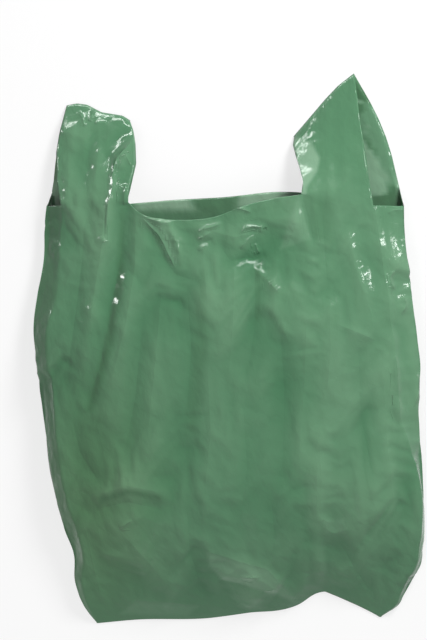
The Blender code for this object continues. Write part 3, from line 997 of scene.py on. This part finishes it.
@dataclass(frozen=True)
class FilmFinish:
    """Glossy green film, a little milky, with finer crinkles than the mesh holds."""

    # painted shade: the darker green of the fold valleys
    painted_shade: tuple[float, float, float, float] = (0.036, 0.148, 0.064, 1.0)
    plain: tuple[float, float, float, float] = (0.066, 0.19, 0.094, 1.0)
    # milky green in soft random clouds, and painted light on the fold ridges
    milky_and_ridge_light: tuple[float, float, float, float] = (0.112, 0.25, 0.138, 1.0)
    # painted shade: the colour of the shade zones
    shaded: tuple[float, float, float, float] = (0.036, 0.124, 0.05, 1.0)
    # olive painted shade
    olive_shade: tuple[float, float, float, float] = (0.068, 0.155, 0.052, 1.0)
    # painted light: the lighter colour where light comes through one layer and on facets that catch it
    painted_light: tuple[float, float, float, float] = (0.215, 0.37, 0.245, 1.0)
    gloss: float = 0.1
    haze: float = 0.08
    sheen: float = 0.4
    crest_reach: float = 2.4
    small_facets: tuple[tuple[float, float, float, float], ...] = (
        (14, 0.046, 0.024, 0.5),
        (-47, 0.036, 0.022, 0.45),
        (71, 0.041, 0.022, 0.5),
        (-12, 0.027, 0.02, 0.4),
        (38, 0.019, 0.018, 0.3),
    )
    facet_scales: tuple[float, ...] = (1.0, 2.6)
    milky_clouds: tuple[float, float, float] = (7.0, 0.45, 0.9)
    haze_clouds: tuple[float, float, float] = (14.0, 0.35, 0.7)
    cloud_stretch: tuple[float, float, float] = (1.0, 0.5, 1.0)
    facet_lean: float = 0.7

    def clouds_group(self) -> bpy.types.NodeTree:
        """A group that puts out soft clouds from 0 to 1 over the surface."""
        wiring = Wiring.group("film_clouds", ("Scale", "Low", "High"), "Mask")
        given = wiring.given()
        stretch = wiring.add("Mapping", {"Vector": given["Vector"], "Scale": self.cloud_stretch})
        cloud = {"Vector": stretch.outputs["Vector"], "Scale": given["Scale"]}
        noise = wiring.add("TexNoise", {**cloud, "Detail": 4.0, "Distortion": 0.6})
        spread = {"Value": noise.outputs["Fac"], "From Min": given["Low"], "From Max": given["High"]}
        mask = wiring.add("MapRange", spread, interpolation_type="SMOOTHSTEP")
        return wiring.put_out(mask.outputs["Result"])

    def facets_group(self) -> bpy.types.NodeTree:
        """A group that puts out the height in metres of small flat facets. It lays zigzags one on the
        other as Facets does, each shifted by the one before it."""
        wiring = Wiring.group("film_facets", ("Scale",), "Height")
        given = wiring.given()
        large = wiring.add("VectorMath", {0: given["Vector"], "Scale": given["Scale"]}, operation="SCALE")
        place, height = large.outputs["Vector"], 0.0
        for heading, length, slope, push in self.small_facets:
            turn = np.radians(heading)
            way = Vector((np.cos(turn), np.sin(turn), self.facet_lean)).normalized()
            aside = way.cross(Vector((0, 0, 1))).normalized()
            across = wiring.add("VectorMath", {0: place, 1: way}, operation="DOT_PRODUCT").outputs["Value"]
            zigzag = wiring.math("PINGPONG", across, length / 2)
            height = wiring.math("MULTIPLY_ADD", zigzag, slope, height)
            shift = {0: zigzag, 1: aside * push, 2: place}
            place = wiring.add("VectorMath", shift, operation="MULTIPLY_ADD").outputs["Vector"]
        return wiring.put_out(height)

    def crest_height(self, wiring: Wiring, lines: bpy.types.bpy_prop_collection) -> bpy.types.NodeSocket:
        """The crests' height in millimetres, sharpness * exp(-distance / reach), from their attribute.

        Args:
            wiring: The material's nodes.
            lines: The attribute's channels, the distance and the sharpness, each with nought at 0.5.

        Returns:
            The height's socket.
        """
        distance = wiring.math("ABSOLUTE", wiring.math("SUBTRACT", lines["Red"], 0.5))
        fall = wiring.math("EXPONENT", wiring.math("MULTIPLY", distance, -2 * LINE_REACH / self.crest_reach))
        return wiring.math("MULTIPLY", wiring.math("MULTIPLY_ADD", lines["Green"], 4.0, -2.0), fall)

    def build(self) -> bpy.types.Material:
        """Makes the material, from Object coordinates and the film's own attributes."""
        material = bpy.data.materials.new("green_film")
        material.use_nodes = True
        wiring = Wiring(material.node_tree)
        shader = wiring.tree.nodes["Principled BSDF"]
        place = wiring.add("TexCoord", {}).outputs["Object"]
        clouds_tree, facets_tree = self.clouds_group(), self.facets_group()

        def clouds(scale: float, low: float, high: float) -> bpy.types.NodeSocket:
            """A cloud mask at its own scale."""
            values = {"Vector": place, "Scale": scale, "Low": low, "High": high}
            return wiring.add("Group", values, node_tree=clouds_tree).outputs["Mask"]

        def tint(
            mask: bpy.types.NodeSocket,
            under: bpy.types.NodeSocket | tuple[float, ...],
            colour: tuple[float, ...],
        ) -> bpy.types.NodeSocket:
            """A colour blended over another by a mask."""
            blend = {"Factor": mask, "A": under, "B": colour}
            return wiring.add("Mix", blend, data_type="RGBA").outputs["Result"]

        def parts(name: str) -> bpy.types.bpy_prop_collection:
            """The three channels of one of the film's attributes."""
            read = wiring.add("Attribute", {}, attribute_name=name)
            return wiring.add("SeparateColor", {"Color": read.outputs["Color"]}).outputs

        # painted shade in the valleys, painted light on the ridges, olive painted shade, and the zones of
        # painted shade and painted light
        folds, layers = parts("film_fold_shade_light"), parts("film_shade_and_light")
        colour = tint(clouds(*self.milky_clouds), self.plain, self.milky_and_ridge_light)
        tints = ((folds, (self.painted_shade, self.milky_and_ridge_light, self.olive_shade)), (layers, (self.shaded, self.painted_light)))
        for masks, colours in tints:
            for channel, over in zip(("Red", "Green", "Blue"), colours):
                colour = tint(masks[channel], colour, over)
        wiring.link(colour, shader.inputs["Base Color"])

        gloss = {"Value": clouds(*self.haze_clouds), "To Min": self.gloss, "To Max": self.gloss + self.haze}
        wiring.link(wiring.add("MapRange", gloss).outputs["Result"], shader.inputs["Roughness"])

        heights = [(self.crest_height(wiring, parts("film_crests")), MM)]
        for scale in self.facet_scales:
            facets = wiring.add("Group", {"Scale": scale, "Vector": place}, node_tree=facets_tree)
            heights.append((facets.outputs["Height"], 1 / scale))
        under = {}
        for height, distance in heights:
            bump = wiring.add("Bump", {"Strength": 1.0, "Distance": distance, "Height": height, **under})
            under = {"Normal": bump.outputs["Normal"]}
        wiring.link(under["Normal"], shader.inputs["Normal"])
        shader.inputs["IOR"].default_value = 1.5
        shader.inputs["Specular IOR Level"].default_value = self.sheen
        return material


@dataclass(frozen=True)
class CarrierBag:
    """The bag's one piece of film."""

    pattern: Pattern = Pattern()
    crumple: Crumple = Crumple()
    finish: FilmFinish = FilmFinish()
    fold_fade: float = 30
    edge_fold_share: float = 0.35
    calm_width: float = 45
    seal_freedom: float = 0.06
    handle_loosening: float = 4
    # how much painted light the front and back bands take where light comes through one layer
    backlight_front: float = 0.7
    backlight_back: float = 0.14

    def lift(self, grid: Array) -> Array:
        """The bag's height at each point of a half, above its seal and over the fade length."""
        height = self.pattern.height_at(grid[..., 1], grid[0, :, 1]) / MM - self.pattern.seal_gap
        return height / self.fold_fade

    def freedom(self, grid: Array) -> Array:
        """How free each point of a half is to fold: its lift, and a little at the seal."""
        return np.clip(self.lift(grid), self.seal_freedom, 1)

    def fold_share(self, grid: Array) -> Array:
        """How much of the main folds each point of the front half takes: less within the calm width of
        the panel's sides and towards the seal, and none out on the gussets.

        Args:
            grid: The front half's points.

        Returns:
            The share for each point, from 0 to 1.
        """
        gusset = self.pattern.gusset_columns
        low, high = grid[:, gusset, :1], grid[:, -1 - gusset, :1]
        x = grid[..., 0]
        calm = np.clip(np.minimum(x - low, high - x) / (self.calm_width * MM), 0, 1)
        calm = self.edge_fold_share + (1 - self.edge_fold_share) * calm
        fade = np.clip(self.lift(grid), 0, 1)
        column = np.arange(grid.shape[1])
        out = np.maximum(gusset - np.minimum(column, column[::-1]), 0) / gusset
        return calm * fade * (1 - out)

    def film(self) -> Film:
        """Lays out the smooth film.

        Returns:
            The middle surface, every face pointing out of the bag.
        """
        patterns = {Side.FRONT: self.pattern, Side.BACK: self.pattern.coarse()}
        film = Film()
        front, back = (pattern.body(side) for side, pattern in patterns.items())
        folds = self.fold_share(front)
        on_front = film.add(front, 1, self.freedom(front), 1, folds)
        inner = back[:, 1:-1]
        on_inner = film.add(inner, 0, self.freedom(inner), 1, 0)
        on_back = np.concatenate([on_front[::2, :1], on_inner, on_front[::2, -1:]], axis=1)
        film.skin(on_front, turned=False)
        film.skin(on_inner, turned=True)
        film.stitch(on_front[:, 0], on_inner[:, 0], turned=True)
        film.stitch(on_front[:, -1], on_inner[:, -1], turned=False)
        nose = front[0, 1:-1] - np.array([0, self.pattern.seal_nose, self.pattern.seal_gap / 2]) * MM
        on_nose = np.r_[on_front[0, 0], film.add(nose, 1, 0, 1, 0), on_front[0, -1]]
        film.skin(np.stack([on_nose, on_front[0]]), turned=False)
        film.stitch(on_nose, on_back[0], turned=False)
        feet = {Side.FRONT: (front, on_front, folds[-1]), Side.BACK: (back, on_back, 0 * back[-1, :, 0])}
        self.add_handle(film, LEFT_HANDLE, patterns, feet, mirrored=False)
        self.add_handle(film, RIGHT_HANDLE, patterns, feet, mirrored=True)
        return film

    def add_handle(
        self,
        film: Film,
        handle: Handle,
        patterns: dict[Side, Pattern],
        feet: dict[Side, tuple[Array, Array, Array]],
        mirrored: bool,
    ) -> None:
        """Joins a handle's two bands to the body and to each other along the seal.

        Args:
            film: The film so far.
            handle: The handle.
            patterns: How finely each half is laid out.
            feet: Each half's points and point numbers, and its top row's share of the folds.
            mirrored: True on the right, where outer to inner runs the other way.
        """
        tops = []
        for side, (body, numbers, folds) in feet.items():
            pattern = patterns[side]
            columns = pattern.gusset_columns + np.arange(pattern.handle_columns + 1)
            columns = body.shape[1] - 1 - columns if mirrored else columns
            band = pattern.band(body[-1, columns], handle, side)
            drop = np.linspace(1, 0, len(band))[1:, None]
            freedom = np.clip(self.handle_loosening * drop, 2 * self.seal_freedom, 1)
            layers = self.doubled(band[1:], handle, side)
            added = film.add(band[1:], float(side is Side.FRONT), freedom, layers, drop**2 * folds[columns])
            on_band = np.concatenate([numbers[-1:, columns], added])
            film.skin(on_band, mirrored != (side is Side.BACK))
            tops.append((band[-1], on_band[-1]))
        (front, on_front), (_, on_back) = tops
        way = (front[-1] - front[0]) * (-1 if mirrored else 1)
        beyond = self.pattern.seal_nose * np.array([-way[1], way[0], 0]) / np.hypot(way[0], way[1])
        on_nose = film.add(front + (beyond - [0, 0, self.pattern.seal_gap / 2]) * MM, 1, 0, 1, 0)
        film.skin(np.stack([on_front, on_nose]), mirrored)
        film.stitch(on_nose, on_back, mirrored)

    def doubled(self, band: Array, handle: Handle, side: Side) -> Array:
        """Where a band lies over its fellow, from 0 where it doesn't to 1.

        Args:
            band: The band's points.
            handle: The handle.
            side: Which band it is.

        Returns:
            The share for each point.
        """
        fellow = Side.BACK if side is Side.FRONT else Side.FRONT
        outer, inner = handle.outer[fellow], handle.inner[fellow]
        below = ((inner[0][0], 0), (outer[0][0], 0))
        top = (handle.outer_corner, *handle.seal, handle.inner_corner)
        return Zone(side, (*outer, *top, *inner[::-1], *below)).weight(band[..., :2])

    def build(self) -> bpy.types.Object:
        """Builds the crumpled, dressed film.

        Returns:
            The film as an object at the origin.
        """
        film = self.film()
        rise, tone = self.crumple.relief(film)
        points = film.points + film.normals() * rise[:, None]
        low, high = (np.array(v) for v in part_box("bag"))
        own_low, own_high = film.points.min(axis=0), film.points.max(axis=0)
        move = (low + high) / 2 - (own_low + own_high) / 2
        floor = low[2] + self.pattern.wall * MM / 2
        points = points + [move[0], move[1], 0]
        points[:, 2] = np.maximum(points[:, 2] + floor, floor)
        mesh = bpy.data.meshes.new("carrier_film")
        mesh.from_pydata(points.tolist(), [], [list(dict.fromkeys(f)) for f in film.faces.tolist()])
        mesh.shade_smooth()
        self.mark(mesh, film, tone)
        mesh.materials.append(self.finish.build())
        bag = new_object("carrier_film", mesh)
        wall = bag.modifiers.new("wall", "SOLIDIFY")
        wall.thickness = self.pattern.wall * MM
        wall.offset = 0
        return bag

    def mark(self, mesh: bpy.types.Mesh, film: Film, tone: Array) -> None:
        """Writes, as colour attributes, the painted shade in the valleys and painted light on the ridges,
        the olive painted shade, the zones of painted shade and painted light, the painted light where
        the film lies in one layer, and how far off and how sharp its nearest crest is.

        Args:
            mesh: The mesh to mark.
            film: The film that it was made from.
            tone: The fold tone at each point, from 0 for painted shade to 1 for painted light.
        """
        flat = film.points[:, :2]
        front, _, layers, _ = film.masks.T
        share = {side: front if side is Side.FRONT else 1 - front for side in Side}
        lit_zones = sum(zone.weight(flat) * share[zone.side] for zone in PAINTED_LIGHT_ZONES)
        painted_shade = sum(zone.weight(flat) * share[zone.side] for zone in PAINTED_SHADE_ZONES)
        # olive painted shade on the lower left and beside the left handle
        olive_shade = sum(amount * patch.weight(flat) * share[side] for side, amount, patch in OLIVE_SHADE_PATCHES)
        over = {side: (1 - layers) * share[side] for side in Side}
        # painted light where light comes through one layer of a handle band
        through = self.backlight_front * over[Side.FRONT] + self.backlight_back * over[Side.BACK]
        painted_light = np.maximum(lit_zones, through) * np.clip(1 - painted_shade, 0, 1)
        across, sharp = crest_lines((*self.crumple.folds, *self.crumple.creases), flat)
        marks = {
            # painted shade in the valleys, painted light on the ridges, and olive painted shade
            "film_fold_shade_light": (1 - 2 * tone, 2 * tone - 1, olive_shade),
            # the zones of painted shade, and painted light from the light zones and where the film lies in
            # one layer
            "film_shade_and_light": (painted_shade, painted_light, np.zeros_like(tone)),
            "film_crests": (0.5 + across / (2 * LINE_REACH), 0.5 + 0.25 * sharp * front, np.zeros_like(tone)),
        }
        for name, channels in marks.items():
            values = np.clip(np.stack([*channels, np.ones_like(tone)], axis=-1), 0, 1)
            attribute = mesh.color_attributes.new(name, "FLOAT_COLOR", "POINT")
            attribute.data.foreach_set("color", values.astype(np.float32).ravel())


class Effect(Enum):
    """What a lamp is there for: to light the film, or to gleam in it."""

    LIGHT = "light"
    GLEAM = "gleam"


@dataclass(frozen=True)
class Lamp:
    """A lamp that faces the bag, its width and height, and what it does."""

    name: str
    place: tuple[float, float, float]
    size: tuple[float, float]
    watts: float
    effect: Effect

    def build(self, target: Vector) -> bpy.types.Object:
        """Makes the lamp, turned towards a target."""
        light = bpy.data.lights.new(self.name, "AREA")
        light.shape = "RECTANGLE"
        light.size, light.size_y = self.size
        light.energy = self.watts
        lamp = new_object(self.name, light)
        lamp.location = self.place
        lamp.visible_glossy = self.effect is Effect.GLEAM
        lamp.visible_diffuse = self.effect is Effect.LIGHT
        lamp.rotation_euler = (target - Vector(self.place)).to_track_quat("-Z", "Y").to_euler()
        return lamp


@dataclass(frozen=True)
class Studio:
    """A white floor and surroundings, soft lamps, and a camera that looks straight down."""

    lamps: tuple[Lamp, ...] = (
        Lamp("key_lamp", (1.15, 1.8, 1.45), (0.8, 0.8), 70, Effect.LIGHT),
        Lamp("fill_lamp", (-0.8, -1.6, 2.2), (1.6, 1.6), 24, Effect.LIGHT),
        Lamp("top_tube", (0.0, 3.4, 1.5), (4.4, 0.26), 88, Effect.GLEAM),
        Lamp("left_glint", (-3.2, 2.0, 0.8), (0.3, 1.6), 46, Effect.GLEAM),
        Lamp("right_glint", (2.2, 1.3, 1.14), (0.16, 0.6), 10, Effect.GLEAM),
    )
    world_level: float = 0.26
    floor_size: float = 12.0
    floor_glow: float = 0.72
    floor_white: float = 0.9
    floor_drop: float = 0.0004
    target: tuple[float, float, float] = (0.0, 0.0, 0.03)
    camera_height: float = 3.2
    view_plane: float = 0.03
    frame_height: float = 0.928
    centre: tuple[float, float] = (-0.022, 0.0415)

    @staticmethod
    def seen_rays(wiring: Wiring) -> bpy.types.NodeSocket:
        """1 for camera, glossy and transmission rays, and 0 for the rays that light the bag."""
        rays = wiring.add("LightPath", {}).outputs
        seen = wiring.math("MAXIMUM", rays["Is Camera Ray"], rays["Is Glossy Ray"])
        return wiring.math("MAXIMUM", seen, rays["Is Transmission Ray"])

    def build_floor(self) -> bpy.types.Object:
        """Makes the white floor, which glows a little where it is seen and keeps its shadow."""
        half = self.floor_size / 2
        mesh = bpy.data.meshes.new("floor")
        corners = [(-half, -half), (half, -half), (half, half), (-half, half)]
        mesh.from_pydata([(x, y, -self.floor_drop) for x, y in corners], [], [(0, 1, 2, 3)])
        material = bpy.data.materials.new("floor_white")
        material.use_nodes = True
        wiring = Wiring(material.node_tree)
        shader = wiring.tree.nodes["Principled BSDF"]
        white = self.floor_white
        shader.inputs["Base Color"].default_value = (white, white, white, 1.0)
        shader.inputs["Roughness"].default_value = 0.9
        shader.inputs["Specular IOR Level"].default_value = 0.0
        share = wiring.math("MULTIPLY", self.seen_rays(wiring), self.floor_glow)
        glow = wiring.add("Emission", {})
        mix = wiring.add("MixShader", {"Fac": share, 1: shader.outputs["BSDF"], 2: glow.outputs["Emission"]})
        wiring.link(mix.outputs["Shader"], wiring.tree.nodes["Material Output"].inputs["Surface"])
        mesh.materials.append(material)
        floor = new_object("floor", mesh)
        return floor

    def build_world(self) -> None:
        """Makes the surroundings white where they are seen and plain where they light the bag."""
        world = bpy.data.worlds.new("studio")
        bpy.context.scene.world = world
        world.use_nodes = True
        wiring = Wiring(world.node_tree)
        back = wiring.tree.nodes["Background"]
        back.inputs["Color"].default_value = (1.0, 1.0, 1.0, 1.0)
        levels = {"Value": self.seen_rays(wiring), "To Min": self.world_level, "To Max": 1.0}
        wiring.link(wiring.add("MapRange", levels).outputs["Result"], back.inputs["Strength"])

    def build_camera(self) -> bpy.types.Object:
        """Makes the camera, whose frame is as high as the photograph's at the view plane."""
        data = bpy.data.cameras.new("camera")
        data.sensor_width = 36.0
        data.lens = data.sensor_width * (self.camera_height - self.view_plane) / self.frame_height
        camera = new_object("camera", data)
        camera.location = (*self.centre, self.camera_height)
        bpy.context.scene.camera = camera
        return camera

    def build(self) -> None:
        """Makes the whole studio."""
        self.build_floor()
        self.build_world()
        for lamp in self.lamps:
            lamp.build(Vector(self.target))
        self.build_camera()
        bpy.context.scene.view_settings.view_transform = "Standard"


def main() -> None:
    """Builds the bag and its studio, and logs how many points and faces the film has."""
    logging.basicConfig(level=logging.INFO, format="%(name)s: %(message)s")
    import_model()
    bag = CarrierBag().build()
    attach(bag, "root")
    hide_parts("bag")
    log.info("%s: %d points, %d faces", bag.name, len(bag.data.vertices), len(bag.data.polygons))
    Studio().build()


if __name__ == "__main__":
    main()
